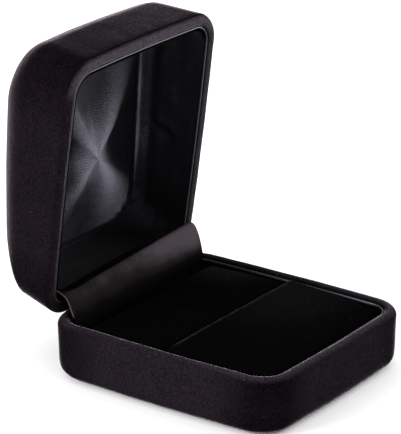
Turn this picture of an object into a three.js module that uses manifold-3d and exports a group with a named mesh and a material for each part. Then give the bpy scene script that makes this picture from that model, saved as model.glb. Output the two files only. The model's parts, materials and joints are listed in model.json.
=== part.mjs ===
// Ring box: a velvet-covered case with a snap hinge, standing open.
// Millimetres. +X runs along the hinge, +Y points to the hinge at the back, +Z is up.
// The origin is the centre of the flat underside of the base.
import * as THREE from 'three';
import { mergeVertices } from 'three/addons/utils/BufferGeometryUtils.js';
import Module from 'manifold-3d';

const wasm = await Module();
wasm.setup();

// ---- driving dimensions -------------------------------------------------
const WIDTH = 50;             // along the hinge
const DEPTH = 56;             // front to back
const BASE_HEIGHT = 12.5;     // underside to rim
const LID_HEIGHT = 24;        // rim to top, along the front edge
const LID_TAPER = 0.25;       // how much shallower the lid is along the hinge
const RIM_GAP = 0.3;          // between the two rims when the box is closed
const OPEN_ANGLE = 82;        // degrees between the rims when the lid rests on its stop

const CORNER_R = 7.5;         // plan corners at the rims
const TOP_CORNER_R = 9.4;     // plan corners at the top of the lid
const SIDE_BULGE = 0.3;       // how far the middle of a side swells out
const LIP_R = 1.5;            // soft outer edge of both rims

const VELVET = 0.9;           // outer covering
const STEEL = 0.6;            // pressed shells
const FIT = 0.1;              // play between one layer and the next
const TURN_IN = { from: 1.85, to: 2.45, depth: 3.5, bend: 0.6 };   // velvet turned over the rim
const BAND = { from: 2.55, to: 3.0, top: 0.25, depth: 6 };   // steel rim bands
const FILLET = 3.1;           // bottom edge of the base
const FILLET_CORNER = 0.6;    // how fast the plan corners tighten round that edge
const BASE_DRAFT = 0.2;
const LID_DRAFT = 1.1;
const SHOULDER = { width: 9.7, height: 12.3, power: 1.35 };   // how the lid rounds over

const HINGE_INSET = 1.02;     // from the outer face of the back walls to the hinge axis
const HINGE = { y: DEPTH / 2 - HINGE_INSET, z: BASE_HEIGHT + RIM_GAP / 2 };
const BARREL = { r: 1.1, bore: 0.66, length: 28, count: 5, gap: 0.3 };
const PIN = { r: 0.58, head: 0.85, headThick: 0.35, play: 0.15 };
// The room cleared for the hinge: "lip" across the rim, and "leaf" behind the back wall's face.
const NOTCH = { half: BARREL.length / 2 + 1.2, inward: 6, outward: 2, lip: 1.4, leaf: 8.5, wall: 1.2 };
const LEAF = { from: 2.1, to: 2.6, depth: 7.5, web: 0.6, webTo: 1.05, clear: 1.5 };

// ---- outlines and lofts -------------------------------------------------
const CORNER_STEPS = 5;
const SIDE_STEPS = 4;

// Closed plan outline of a rounded rectangle with slightly swollen sides.
function outline(inset, radius) {
  const hw = WIDTH / 2 - inset;
  const hd = DEPTH / 2 - inset;
  const r = Math.max(radius, 0.8);
  const corners = [[1, 1], [-1, 1], [-1, -1], [1, -1]];
  const points = [];
  corners.forEach(([sx, sy], k) => {
    for (let i = 0; i <= CORNER_STEPS; i++) {
      const a = (k + i / CORNER_STEPS) * Math.PI / 2;
      points.push([sx * (hw - r) + r * Math.cos(a), sy * (hd - r) + r * Math.sin(a)]);
    }
    const [nx, ny] = corners[(k + 1) % 4];
    const from = points[points.length - 1];
    const a = (k + 1) * Math.PI / 2;
    const to = [nx * (hw - r) + r * Math.cos(a), ny * (hd - r) + r * Math.sin(a)];
    for (let i = 1; i < SIDE_STEPS; i++) {
      const t = i / SIDE_STEPS;
      const swell = SIDE_BULGE * Math.sin(t * Math.PI);
      points.push([
        from[0] + (to[0] - from[0]) * t + swell * Math.cos(a),
        from[1] + (to[1] - from[1]) * t + swell * Math.sin(a),
      ]);
    }
  });
  return points;
}

// A closed body through rings of equal length: capped at both ends, or joined into a band.
function loft(rings, band = false) {
  const n = rings[0].length;
  const position = rings.flat(2);
  const index = [];
  const last = band ? rings.length : rings.length - 1;
  for (let i = 0; i < last; i++) {
    const next = (i + 1) % rings.length;
    for (let j = 0; j < n; j++) {
      const k = (j + 1) % n;
      index.push(i * n + j, i * n + k, next * n + k, i * n + j, next * n + k, next * n + j);
    }
  }
  if (!band) {
    for (const [ring, flip] of [[0, true], [rings.length - 1, false]]) {
      const centre = position.length / 3;
      const mean = (c) => rings[ring].reduce((sum, p) => sum + p[c], 0) / n;
      position.push(mean(0), mean(1), mean(2));
      for (let j = 0; j < n; j++) {
        const a = ring * n + j;
        const b = ring * n + (j + 1) % n;
        index.push(...(flip ? [b, a, centre] : [a, b, centre]));
      }
    }
  }
  return facingOut(position, index);
}

// A solid whose faces are turned round if they enclose a negative volume.
function facingOut(position, index) {
  const at = (i) => new THREE.Vector3(position[3 * i], position[3 * i + 1], position[3 * i + 2]);
  let volume = 0;
  for (let i = 0; i < index.length; i += 3) {
    volume += at(index[i]).dot(at(index[i + 1]).cross(at(index[i + 2])));
  }
  return new wasm.Manifold(new wasm.Mesh({
    numProp: 3,
    vertProperties: new Float32Array(position),
    triVerts: new Uint32Array(volume > 0 ? index : index.reverse()),
  }));
}

// A ring of the base at a height, or of the lid at a depth above its rim.
const baseRing = ([inset, z, radius]) => outline(inset, radius).map(([x, y]) => [x, y, z]);
const lidPoint = (x, y, s) => [
  x,
  y - HINGE.y,
  s * (1 - LID_TAPER * (y + DEPTH / 2) / DEPTH) + RIM_GAP / 2,
];
const lidRing = ([inset, s, radius]) => outline(inset, radius).map(([x, y]) => lidPoint(x, y, s));

// ---- solids -------------------------------------------------------------
function toSolid(geometry) {
  geometry.deleteAttribute('normal');
  geometry.deleteAttribute('uv');
  const merged = mergeVertices(geometry, 1e-4);
  return new wasm.Manifold(new wasm.Mesh({
    numProp: 3,
    vertProperties: new Float32Array(merged.getAttribute('position').array),
    triVerts: new Uint32Array(merged.index.array),
  }));
}

function toGeometry(solid) {
  const mesh = solid.getMesh();
  const geometry = new THREE.BufferGeometry();
  geometry.setAttribute('position', new THREE.BufferAttribute(mesh.vertProperties, 3));
  geometry.setIndex(new THREE.BufferAttribute(mesh.triVerts, 1));
  geometry.computeVertexNormals();
  return geometry;
}

const cut = (body, ...tools) => tools.reduce((solid, tool) => solid.subtract(tool), body);
const join = (body, ...others) => others.reduce((solid, other) => solid.add(other), body);

// A block between any two opposite corners.
function block(a, b) {
  const size = a.map((value, i) => Math.abs(b[i] - value));
  const centre = a.map((value, i) => (value + b[i]) / 2);
  return toSolid(new THREE.BoxGeometry(...size).translate(...centre));
}

// Turns an extrusion whose outline is drawn in (y, z) to run along X, centred.
function alongX(geometry, half) {
  const turn = new THREE.Matrix4().makeBasis(
    new THREE.Vector3(0, 1, 0),
    new THREE.Vector3(0, 0, 1),
    new THREE.Vector3(1, 0, 0),
  );
  return geometry.applyMatrix4(turn).translate(-half, 0, 0);
}

// A cylinder along X, centred on x.
function axleAlongX(r, length, x, sides = 16) {
  const cylinder = new THREE.CylinderGeometry(r, r, length, sides);
  return toSolid(cylinder.rotateZ(Math.PI / 2).translate(x, 0, 0));
}

// ---- profiles: [inset, height, corner radius] -----------------------------
// Points of a quarter turn, from 0 to 90 degrees.
const quarter = (steps) => Array.from({ length: steps + 1 }, (_, i) => i / steps * Math.PI / 2);

// The soft lip, from the outer wall over the rim and down the turned-in side.
// "rise" is +1 for the base, whose wall lies below its rim, and -1 for the lid.
function lip(rim, rise) {
  const outside = quarter(3).map((a) => [
    LIP_R * (1 - Math.cos(a)),
    rim - rise * LIP_R * (1 - Math.sin(a)),
  ]);
  const inside = quarter(2).map((a) => [
    TURN_IN.to - TURN_IN.bend * (1 - Math.sin(a)),
    rim - rise * TURN_IN.bend * (1 - Math.cos(a)),
  ]);
  const folded = [
    ...outside,
    ...inside,
    [TURN_IN.to, rim - rise * TURN_IN.depth],
    [TURN_IN.from, rim - rise * TURN_IN.depth],
    [TURN_IN.from, rim - rise * (VELVET + FIT)],
    [VELVET, rim - rise * (VELVET + FIT)],
  ];
  return folded.map(([inset, z]) => [inset, z, CORNER_R - inset]);
}

// The outside of the base, one layer in by t, from the bottom of the wall to the floor.
function baseFloor(t) {
  return quarter(4).map((a) => {
    const inset = FILLET * (1 - Math.cos(a));
    return [t + BASE_DRAFT + inset, t + FILLET * (1 - Math.sin(a)), CORNER_R - t - FILLET_CORNER * inset];
  });
}

// The outside of the lid, one layer in by t, from the top of the wall to the crown.
function lidCrown(t, steps = 6) {
  const wall = LID_HEIGHT - SHOULDER.height;
  const e = 2 / SHOULDER.power;
  return quarter(steps).map((a) => {
    const s = wall - t + SHOULDER.height * Math.sin(a) ** e;
    const draft = LID_DRAFT * s / LID_HEIGHT;
    const round = SHOULDER.width * (1 - Math.max(Math.cos(a), 0) ** e);
    return [t + draft + round, s, CORNER_R + (TOP_CORNER_R - CORNER_R) * s / LID_HEIGHT - t];
  });
}

// Room for the hinge across a back rim, and behind it for the leaf, about the axis at (y, z).
// "side" is -1 for the base, below the axis, and +1 for the lid, above it.
function hingeNotches(side, y, z) {
  const low = z - side * NOTCH.outward;
  const rear = y + HINGE_INSET;
  return [
    block([-NOTCH.half, y - NOTCH.inward, low], [NOTCH.half, rear + NOTCH.outward, z + side * NOTCH.lip]),
    block([-NOTCH.half, y - NOTCH.inward, low], [NOTCH.half, rear - NOTCH.wall, z + side * NOTCH.leaf]),
  ];
}

// ---- base -----------------------------------------------------------------
const baseNotches = () => hingeNotches(-1, HINGE.y, HINGE.z);

function baseVelvet() {
  const outer = [...baseFloor(0)].reverse();
  const inner = baseFloor(VELVET);
  return cut(loft([...outer, ...lip(BASE_HEIGHT, 1), ...inner].map(baseRing)), ...baseNotches());
}

function baseShell() {
  const t = VELVET + FIT;
  const top = BASE_HEIGHT - VELVET - 2 * FIT;
  const outer = [...baseFloor(t)].reverse();
  const inner = baseFloor(t + STEEL);
  const rim = [[t, top, CORNER_R - t], [t + STEEL, top, CORNER_R - t - STEEL]];
  return cut(loft([...outer, ...rim, ...inner].map(baseRing)), baseNotches()[0], ...rivetHoles(-1));
}

// A flat-sided band between two insets and two heights.
function band(from, to, low, high, ring) {
  const corners = [[from, low], [from, high], [to, high], [to, low]];
  return loft(corners.map(([inset, z]) => ring([inset, z, CORNER_R - inset])), true);
}

const baseBand = () => cut(
  band(BAND.from, BAND.to, BASE_HEIGHT - BAND.depth, BASE_HEIGHT - BAND.top, baseRing),
  ...baseNotches(),
);

const BOARD = { low: 2.1, high: 2.9, inset: 3.6 };
const LINER = { from: 3.3, to: 3.9, low: 3.2, high: 11.7 };

function baseBoard() {
  const corners = [[BOARD.inset, BOARD.low], [BOARD.inset, BOARD.high]];
  return loft(corners.map(([inset, z]) => baseRing([inset, z, CORNER_R - inset])));
}

function baseLiner() {
  const all = band(LINER.from, LINER.to, LINER.low, LINER.high, baseRing);
  return cut(all, baseNotches()[1]);
}

// ---- ring pads --------------------------------------------------------------
const PAD_INSET = LINER.to + 0.3;
const PAD_FLOOR = 3.2;
const PAD_COVER = 0.6;
const PAD_EASE = 1.4;         // how far the top edges are rounded over
const PAD_CROWN = 0.3;        // how far the middle of the top swells
const SLIT = { y: 0, gap: 0.5 };   // where the ring is pushed in
const FRONT_PAD = { y0: PAD_INSET - DEPTH / 2, y1: SLIT.y - SLIT.gap / 2, z0: 10.6, z1: 12.7 };
const REAR_PAD = { y0: SLIT.y + SLIT.gap / 2, y1: 19.4, z0: 11.2, z1: 10.9 };

// Side outline of a pad: flat under, its top running from z0 in front to z1 behind, edges eased.
function padSide({ y0, y1, z0, z1 }, t) {
  const ease = PAD_EASE - t;
  const shape = new THREE.Shape();
  shape.moveTo(y0 + t, PAD_FLOOR);
  shape.lineTo(y1 - t, PAD_FLOOR);
  shape.lineTo(y1 - t, z1 - t - ease);
  shape.quadraticCurveTo(y1 - t, z1 - t, y1 - t - ease, z1 - t);
  shape.lineTo((y0 + y1) / 2, (z0 + z1) / 2 - t + PAD_CROWN);
  shape.lineTo(y0 + t + ease, z0 - t);
  shape.quadraticCurveTo(y0 + t, z0 - t, y0 + t, z0 - t - ease);
  return shape;
}

// The pad's plan is trimmed to the rounded corners of the base.
function padBody(pad, t) {
  const inset = PAD_INSET + t;
  const half = WIDTH / 2 - inset;
  const options = { depth: 2 * half, bevelEnabled: false, curveSegments: 4 };
  const side = new THREE.ExtrudeGeometry(padSide(pad, t), options);
  const heights = [PAD_FLOOR - 1, BASE_HEIGHT + 2];
  const plan = loft(heights.map((z) => baseRing([inset, z, CORNER_R - LINER.to])));
  return toSolid(alongX(side, half)).intersect(plan);
}

const padCore = (pad) => padBody(pad, PAD_COVER + FIT);

// The cover is open underneath, where it is glued to the core.
function padCover(pad) {
  const room = padBody(pad, PAD_COVER);
  return cut(padBody(pad, 0), room, room.translate([0, 0, -1]));
}

// ---- lid, drawn closed about the hinge axis -----------------------------------
const lidNotches = () => hingeNotches(1, 0, 0);

function lidVelvet() {
  const outer = [...lidCrown(0)].reverse();
  const inner = lidCrown(VELVET);
  return cut(loft([...outer, ...lip(0, -1), ...inner].map(lidRing)), ...lidNotches());
}

function lidShell() {
  const t = VELVET + FIT;
  const low = VELVET + 2 * FIT;
  const outer = [...lidCrown(t)].reverse();
  const inner = lidCrown(t + STEEL);
  const rim = [[t, low, CORNER_R - t], [t + STEEL, low, CORNER_R - t - STEEL]];
  return cut(loft([...outer, ...rim, ...inner].map(lidRing)), lidNotches()[0], ...rivetHoles(1));
}

const lidBand = () => cut(band(BAND.from, BAND.to, BAND.top, BAND.depth, lidRing), ...lidNotches());

// The satin cup: walls that lean in, a soft bend, and a back that is puffed up to a blunt point.
const LINING = { inset: 3.3, thick: 0.6, low: 0.9, bend: 8, deep: 16.6, clear: 0.5 };
const PUFF = { y: 1, s: 10 };              // where the blunt point is
const PUFF_STEPS = [0.62, 0.28, 0.08];     // distances from the point, as shares of the slope

function liningWall(t) {
  const cornerGrowth = 0.5;
  const rows = [
    [0, LINING.low],
    [0.4, LINING.bend],
    [1.4, LINING.deep - 4],
    [2.6, LINING.deep - 1.3],
    [4.6, LINING.deep],
  ];
  return rows.map(([inset, s], i) => lidRing([
    LINING.inset + t + inset,
    i === 0 ? s : s - t,
    CORNER_R - LINING.inset + cornerGrowth * inset,
  ]));
}

// Rings that rise from a ring at the foot of the puffed back to its point, t nearer the rim.
function puff(foot, t) {
  const [x, y, z] = lidPoint(0, PUFF.y, PUFF.s - t);
  const rise = (k) => ([px, py, pz]) => [x + (px - x) * k, y + (py - y) * k, z + (pz - z) * k];
  return PUFF_STEPS.map((k) => foot.map(rise(k)));
}

function liningRings(t) {
  const wall = liningWall(t);
  return [...wall, ...puff(wall[wall.length - 1], t)];
}

// The lower edge is cut away where the snap spring comes in from the hinge.
function lidLining() {
  const cup = loft([...liningRings(0).reverse(), ...liningRings(LINING.thick)]);
  const room = SPRING.half + LINING.clear;
  return cut(cup, block([-room, -SPRING.room.inward, 0], [room, 0, SPRING.room.high]));
}

// Wadding between the satin and the card, and the card that keeps its shape under the shell.
const CARD = { inset: 10.4, low: LID_HEIGHT - 3.8, thick: 0.7 };
const WADDING = { foot: 8.6, bulge: 8.4, bulgeUp: 1.3, top: 11, gap: 0.3 };

function lidPadding() {
  const rows = [
    [WADDING.foot, LINING.deep + WADDING.gap],
    [WADDING.bulge, LINING.deep + WADDING.bulgeUp],
    [WADDING.top, CARD.low - WADDING.gap],
  ];
  const sides = rows.map(([inset, s]) => lidRing([inset, s, CORNER_R]));
  return loft([...puff(sides[0], -WADDING.gap).reverse(), ...sides]);
}

function lidCard() {
  const faces = [CARD.low, CARD.low + CARD.thick];
  return loft(faces.map((s) => lidRing([CARD.inset, s, CORNER_R])));
}

// ---- hinge ------------------------------------------------------------------
// Knuckles alternate between the leaves; those with even numbers belong to the base.
const KNUCKLE = (BARREL.length - BARREL.gap * (BARREL.count - 1)) / BARREL.count;
const knuckleX = (i) => -BARREL.length / 2 + KNUCKLE / 2 + i * (KNUCKLE + BARREL.gap);

// One leaf about the hinge axis: "side" is -1 for the base leaf and +1 for the lid leaf.
// Its own knuckles are joined by webs, and it is cut back around the other leaf's.
function hingeLeaf(side) {
  const inner = HINGE_INSET - LEAF.to;
  const outer = HINGE_INSET - LEAF.from;
  const end = BARREL.length / 2;
  let leaf = block([-end, inner, side * LEAF.web], [end, outer, side * LEAF.depth]);
  for (let i = 0; i < BARREL.count; i++) {
    const x0 = knuckleX(i) - KNUCKLE / 2;
    const x1 = x0 + KNUCKLE;
    if ((i % 2 === 0) === (side < 0)) {
      leaf = join(leaf, axleAlongX(BARREL.r, KNUCKLE, knuckleX(i)));
      leaf = join(leaf, block([x0, inner, side * LEAF.web], [x1, 0, side * LEAF.webTo]));
    } else {
      const gap = BARREL.gap;
      leaf = cut(leaf, block([x0 - gap, inner - 1, 0], [x1 + gap, outer + 1, side * LEAF.clear]));
    }
  }
  return cut(leaf, axleAlongX(BARREL.bore, BARREL.length + 2, 0), ...leafHoles(side));
}

const RIVET = { x: 9, shank: 0.5, hole: 0.56, head: 1.0, headThick: 0.45, depth: 5, gap: 0.06 };
const RIVET_SIDES = [-RIVET.x, RIVET.x];

// A cylinder along Y between two distances in from the outer face of the back wall at y0.
function plug(r, x, from, to, z, y0 = HINGE_INSET) {
  const cylinder = new THREE.CylinderGeometry(r, r, to - from, 12);
  return toSolid(cylinder.translate(x, y0 - (from + to) / 2, z));
}

const leafHoles = (side) => RIVET_SIDES.map((x) =>
  plug(RIVET.hole, x, LEAF.from - 1, LEAF.to + 1, side * RIVET.depth));

// Holes through the steel shell of the base or the lid.
function rivetHoles(side) {
  const [y, z] = side < 0 ? [HINGE.y, HINGE.z] : [0, 0];
  const face = VELVET + FIT;
  return RIVET_SIDES.map((x) =>
    plug(RIVET.hole, x, face - 0.5, face + STEEL + 0.5, z + side * RIVET.depth, y + HINGE_INSET));
}

// A rivet through the leaf and the shell, with its head inside.
function rivet(x, side) {
  const z = side * RIVET.depth;
  const flush = VELVET + FIT + 0.25;
  const shank = plug(RIVET.shank, x, flush, LEAF.to + 0.1, z);
  return join(shank, plug(RIVET.head, x, LEAF.to + RIVET.gap, LEAF.to + RIVET.headThick, z));
}

// The pin, peened over at both ends.
function hingePin() {
  const reach = BARREL.length / 2 + PIN.play;
  const pin = axleAlongX(PIN.r, 2 * reach + PIN.headThick, 0);
  const outward = reach + PIN.headThick / 2;
  const heads = [-1, 1].map((side) => axleAlongX(PIN.head, PIN.headThick, side * outward));
  return join(pin, ...heads);
}

// A strip swept along X from a side view of its centre line.
function strip(points, thick, half, steps) {
  const curve = new THREE.CatmullRomCurve3(points.map(([y, z]) => new THREE.Vector3(0, y, z)));
  const centre = curve.getSpacedPoints(steps);
  const side = (sign) => centre.map((p, i) => {
    const along = curve.getTangentAt(i / steps);
    return new THREE.Vector2(p.y - sign * along.z * thick / 2, p.z + sign * along.y * thick / 2);
  });
  const shape = new THREE.Shape([...side(1), ...side(-1).reverse()]);
  const geometry = new THREE.ExtrudeGeometry(shape, { depth: 2 * half, bevelEnabled: false });
  return toSolid(alongX(geometry, half));
}

// The snap spring: a bowed strip pressed between the two leaves.
const SPRING = {
  thick: 0.35,
  half: 6,
  room: { inward: 4.5, high: 2.6 },
  points: [[25.05, 6.4], [25, 10], [24.9, 12.4], [25.9, 14.15], [27.7, 14.67], [30.2, 15.03]],
};
const hingeSpring = () => strip(SPRING.points, SPRING.thick, SPRING.half, 12);

// The suede flap that hides the hinge: tucked behind the rear pad, up, and back over into the lid.
const FLAP = {
  thick: 0.5,
  half: 20.2,
  points: [[20.3, 6], [20.6, 9], [21.6, 11.6], [22.8, 15.2], [24, 17.9], [25.6, 18.3], [27.4, 17.7]],
};
const hingeFlap = () => strip(FLAP.points, FLAP.thick, FLAP.half, 16);

// ---- materials ----------------------------------------------------------------
const finish = (name, color, roughness, metalness = 0) =>
  new THREE.MeshStandardMaterial({ name, color, roughness, metalness });
const velvet = finish('black_velvet', 0x17151a, 0.95);
const padVelvet = finish('pad_velvet', 0x060607, 0.95);
const satin = finish('black_satin', 0x1b1b1f, 0.38);
const suede = finish('charcoal_suede', 0x35302f, 0.9);
const steel = finish('steel', 0xb4b6ba, 0.3, 1);
const spring = finish('spring_steel', 0x8d9096, 0.35, 1);
const card = finish('black_card', 0x171717, 0.85);
const foam = finish('dark_foam', 0x2b2a2c, 0.95);
const wadding = finish('wadding', 0xcfcac0, 0.95);

// ---- assembly -----------------------------------------------------------------
function add(group, name, solid, material, x = 0, y = 0, z = 0) {
  const mesh = new THREE.Mesh(toGeometry(solid), material);
  mesh.name = name;
  mesh.position.set(x, y, z);
  group.add(mesh);
}

const ringBox = new THREE.Group();

add(ringBox, 'base_velvet', baseVelvet(), velvet);
add(ringBox, 'base_shell', baseShell(), steel);
add(ringBox, 'base_rim_band', baseBand(), steel);
add(ringBox, 'base_board', baseBoard(), card);
add(ringBox, 'base_liner', baseLiner(), padVelvet);
add(ringBox, 'front_pad_core', padCore(FRONT_PAD), foam);
add(ringBox, 'front_pad_cover', padCover(FRONT_PAD), padVelvet);
add(ringBox, 'rear_pad_core', padCore(REAR_PAD), foam);
add(ringBox, 'rear_pad_cover', padCover(REAR_PAD), padVelvet);
add(ringBox, 'base_hinge_leaf', hingeLeaf(-1), steel, 0, HINGE.y, HINGE.z);
add(ringBox, 'hinge_pin', hingePin(), steel, 0, HINGE.y, HINGE.z);
add(ringBox, 'base_rivet_left', rivet(-RIVET.x, -1), steel, 0, HINGE.y, HINGE.z);
add(ringBox, 'base_rivet_right', rivet(RIVET.x, -1), steel, 0, HINGE.y, HINGE.z);
add(ringBox, 'hinge_spring', hingeSpring(), spring);
add(ringBox, 'hinge_flap', hingeFlap(), suede);

const lid = new THREE.Group();
lid.position.set(0, HINGE.y, HINGE.z);
lid.rotation.x = -THREE.MathUtils.degToRad(OPEN_ANGLE);
ringBox.add(lid);

add(lid, 'lid_velvet', lidVelvet(), velvet);
add(lid, 'lid_shell', lidShell(), steel);
add(lid, 'lid_rim_band', lidBand(), steel);
add(lid, 'lid_lining', lidLining(), satin);
add(lid, 'lid_padding', lidPadding(), wadding);
add(lid, 'lid_card', lidCard(), card);
add(lid, 'lid_hinge_leaf', hingeLeaf(1), steel);
add(lid, 'lid_rivet_left', rivet(-RIVET.x, 1), steel);
add(lid, 'lid_rivet_right', rivet(RIVET.x, 1), steel);

export default ringBox;
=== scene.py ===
"""The looks of a velvet ring box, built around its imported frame.

Lengths are in millimetres up to the moment a mesh is made, and in metres from then on.
"""
import json
import math

import bpy
import numpy as np
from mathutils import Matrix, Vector, noise


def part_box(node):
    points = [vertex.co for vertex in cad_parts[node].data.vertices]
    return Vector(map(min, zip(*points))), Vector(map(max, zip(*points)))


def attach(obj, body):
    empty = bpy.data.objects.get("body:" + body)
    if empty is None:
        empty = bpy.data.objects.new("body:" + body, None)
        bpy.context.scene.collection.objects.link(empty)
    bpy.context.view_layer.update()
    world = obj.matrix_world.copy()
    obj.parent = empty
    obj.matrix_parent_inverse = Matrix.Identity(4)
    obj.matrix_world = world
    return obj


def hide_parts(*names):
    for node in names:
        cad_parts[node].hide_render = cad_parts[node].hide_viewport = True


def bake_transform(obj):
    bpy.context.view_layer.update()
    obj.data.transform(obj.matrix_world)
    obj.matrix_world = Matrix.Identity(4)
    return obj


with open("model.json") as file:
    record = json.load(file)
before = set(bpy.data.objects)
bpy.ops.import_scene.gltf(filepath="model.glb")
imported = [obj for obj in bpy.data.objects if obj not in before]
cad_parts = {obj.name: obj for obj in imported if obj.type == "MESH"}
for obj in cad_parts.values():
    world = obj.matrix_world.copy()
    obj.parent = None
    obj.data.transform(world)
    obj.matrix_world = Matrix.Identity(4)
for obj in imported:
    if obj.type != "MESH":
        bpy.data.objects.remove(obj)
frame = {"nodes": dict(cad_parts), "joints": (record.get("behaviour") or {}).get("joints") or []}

NOISE_SEED = 7
noise.seed_set(NOISE_SEED)

MM = 0.001
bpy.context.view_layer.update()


# ---- the frame, in millimetres ----------------------------------------------
def cad_box(node):
    return [np.array(corner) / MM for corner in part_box(node)]


SIDE_BULGE = 0.3          # how far the middle of a side swells out
BASE_HIGH = cad_box("base_velvet")[1]
HALF_X = BASE_HIGH[0] - SIDE_BULGE
HALF_Y = BASE_HIGH[1] - SIDE_BULGE
RIM = BASE_HIGH[2]
HINGE = frame["joints"][0]
PIVOT = np.array(HINGE["pos_m"]) / MM
OPEN_ANGLE = math.radians(max(HINGE["range_deg"]))
RIM_GAP = 2 * (PIVOT[2] - RIM)

# Sizes that the frame's boxes don't give.
LID_HEIGHT = 24.0         # rim to top, along the front edge
LID_TAPER = 0.25          # how much shallower the lid is along the hinge
CORNER_R = 7.5            # plan corners at the rims
TOP_CORNER_R = 9.4        # plan corners at the top of the lid
LIP_R = 1.5               # soft outer edge of both rims
LIP_WIDTH = 2.45          # from the outer wall to the turned-in edge of the velvet
VELVET = 0.9              # thickness of the covering
FILLET = 3.1              # bottom edge of the base
BASE_DRAFT = 0.2
LID_DRAFT = 1.1
SHOULDER_WIDTH = 9.7      # the rounding of the lid from wall to top
SHOULDER_HEIGHT = 12.3
SHOULDER_POWER = 1.35
NOTCH_HALF = 15.2         # half the room cleared for the hinge


# ---- mesh building ------------------------------------------------------------
CORNER_STEPS = 16
SIDE_STEPS = 48
SMALLEST_R = 0.5


def outline(inset, radius):
    """Plan points of a rounded rectangle with slightly swollen sides, counter-clockwise."""
    hx = HALF_X - inset
    hy = HALF_Y - inset
    r = min(max(radius, SMALLEST_R), 0.9 * hx, 0.9 * hy)
    signs = [(1, 1), (-1, 1), (-1, -1), (1, -1)]
    points = []
    for k, (sx, sy) in enumerate(signs):
        centre = np.array([sx * (hx - r), sy * (hy - r)])
        angles = (k + np.arange(CORNER_STEPS + 1) / CORNER_STEPS) * math.pi / 2
        points.append(centre + r * np.c_[np.cos(angles), np.sin(angles)])
        nx, ny = signs[(k + 1) % 4]
        out = np.array([math.cos(angles[-1]), math.sin(angles[-1])])
        start = points[-1][-1]
        end = np.array([nx * (hx - r), ny * (hy - r)]) + r * out
        t = np.arange(1, SIDE_STEPS)[:, None] / SIDE_STEPS
        points.append(start + (end - start) * t + SIDE_BULGE * np.sin(t * math.pi) * out)
    return np.vstack(points)


def ring(inset, z, radius):
    plan = outline(inset, radius)
    return np.c_[plan, np.full(len(plan), float(z))]


def lid_point(points):
    """Tapers points drawn on a lid of even height and puts them about the hinge axis."""
    points = np.array(points, float)
    taper = 1 - LID_TAPER * (points[:, 1] + HALF_Y) / (2 * HALF_Y)
    return np.c_[points[:, 0], points[:, 1] - PIVOT[1], points[:, 2] * taper + RIM_GAP / 2]


def lid_ring(inset, s, radius):
    """A ring of the closed lid, "s" above its rim, about the hinge axis."""
    return lid_point(ring(inset, s, radius))


def opened(points):
    """From the closed lid's place about the hinge axis to its open place in the frame."""
    c, s = math.cos(OPEN_ANGLE), math.sin(OPEN_ANGLE)
    points = np.asarray(points)
    x, y, z = points[:, 0], points[:, 1], points[:, 2]
    return np.c_[x, y * c + z * s, -y * s + z * c] + PIVOT


def loft(rings, band=False):
    """Vertices and faces through rings of equal length, capped at both ends or joined into a band."""
    n = len(rings[0])
    vertices = np.vstack(rings)
    faces = []
    for i in range(len(rings) if band else len(rings) - 1):
        a, b = i * n, (i + 1) % len(rings) * n
        faces += [(a + j, a + (j + 1) % n, b + (j + 1) % n, b + j) for j in range(n)]
    if not band:
        for first, flip in ((0, True), ((len(rings) - 1) * n, False)):
            centre = len(vertices)
            vertices = np.vstack([vertices, vertices[first:first + n].mean(0)])
            for j in range(n):
                a, b = first + j, first + (j + 1) % n
                faces.append((b, a, centre) if flip else (a, b, centre))
    return vertices, faces


def facing_out(vertices, faces):
    volume = 0.0
    for face in faces:
        a = vertices[face[0]]
        for i in range(1, len(face) - 1):
            volume += float(np.dot(a, np.cross(vertices[face[i]], vertices[face[i + 1]])))
    return faces if volume > 0 else [tuple(reversed(face)) for face in faces]


def piece(name, vertices, faces, material, body, replaces=(), solid=True):
    """A smooth mesh object in metres, which rides on a body unless that is None."""
    if solid:
        faces = facing_out(vertices, faces)
    mesh = bpy.data.meshes.new(name)
    mesh.from_pydata((np.asarray(vertices) * MM).tolist(), [], [list(f) for f in faces])
    mesh.polygons.foreach_set("use_smooth", [True] * len(mesh.polygons))
    mesh.materials.append(material)
    obj = bpy.data.objects.new(name, mesh)
    bpy.context.scene.collection.objects.link(obj)
    if body:
        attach(obj, body)
    if replaces:
        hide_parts(*replaces)
    return obj


def set_attribute(obj, name, values):
    attribute = obj.data.attributes.new(name, "FLOAT", "POINT")
    attribute.data.foreach_set("value", np.asarray(values, float))


def roughen(points, amount, scale, seed=0.0):
    """Moves points a little in a smooth random way, the same on every run."""
    moved = np.array(points, float)
    offset = np.array([seed, -seed, 3 * seed])
    for i, p in enumerate(moved):
        v = noise.noise_vector(Vector(p / scale + offset))
        moved[i] += amount * np.array(v)
    return moved


def apply_modifiers(obj):
    """Bakes an object's modifiers into its mesh."""
    depsgraph = bpy.context.evaluated_depsgraph_get()
    mesh = bpy.data.meshes.new_from_object(obj.evaluated_get(depsgraph))
    obj.modifiers.clear()
    old = obj.data
    obj.data = mesh
    bpy.data.meshes.remove(old)


def smoothstep(t):
    t = np.clip(t, 0, 1)
    return t * t * (3 - 2 * t)


# ---- materials ------------------------------------------------------------------
def new_material(name):
    material = bpy.data.materials.new(name)
    material.use_nodes = True
    nodes = material.node_tree.nodes
    return material, material.node_tree, nodes["Principled BSDF"]


def node(tree, kind, **values):
    made = tree.nodes.new(kind)
    for key, value in values.items():
        if key in made.inputs:
            made.inputs[key].default_value = value
        else:
            setattr(made, key, value)
    return made


def ramp(tree, factor, stops):
    made = tree.nodes.new("ShaderNodeValToRGB")
    elements = made.color_ramp.elements
    while len(elements) < len(stops):
        elements.new(0.5)
    for element, (position, colour) in zip(elements, stops):
        element.position = position
        element.color = (*colour, 1)
    tree.links.new(factor, made.inputs["Fac"])
    return made.outputs["Color"]


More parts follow.
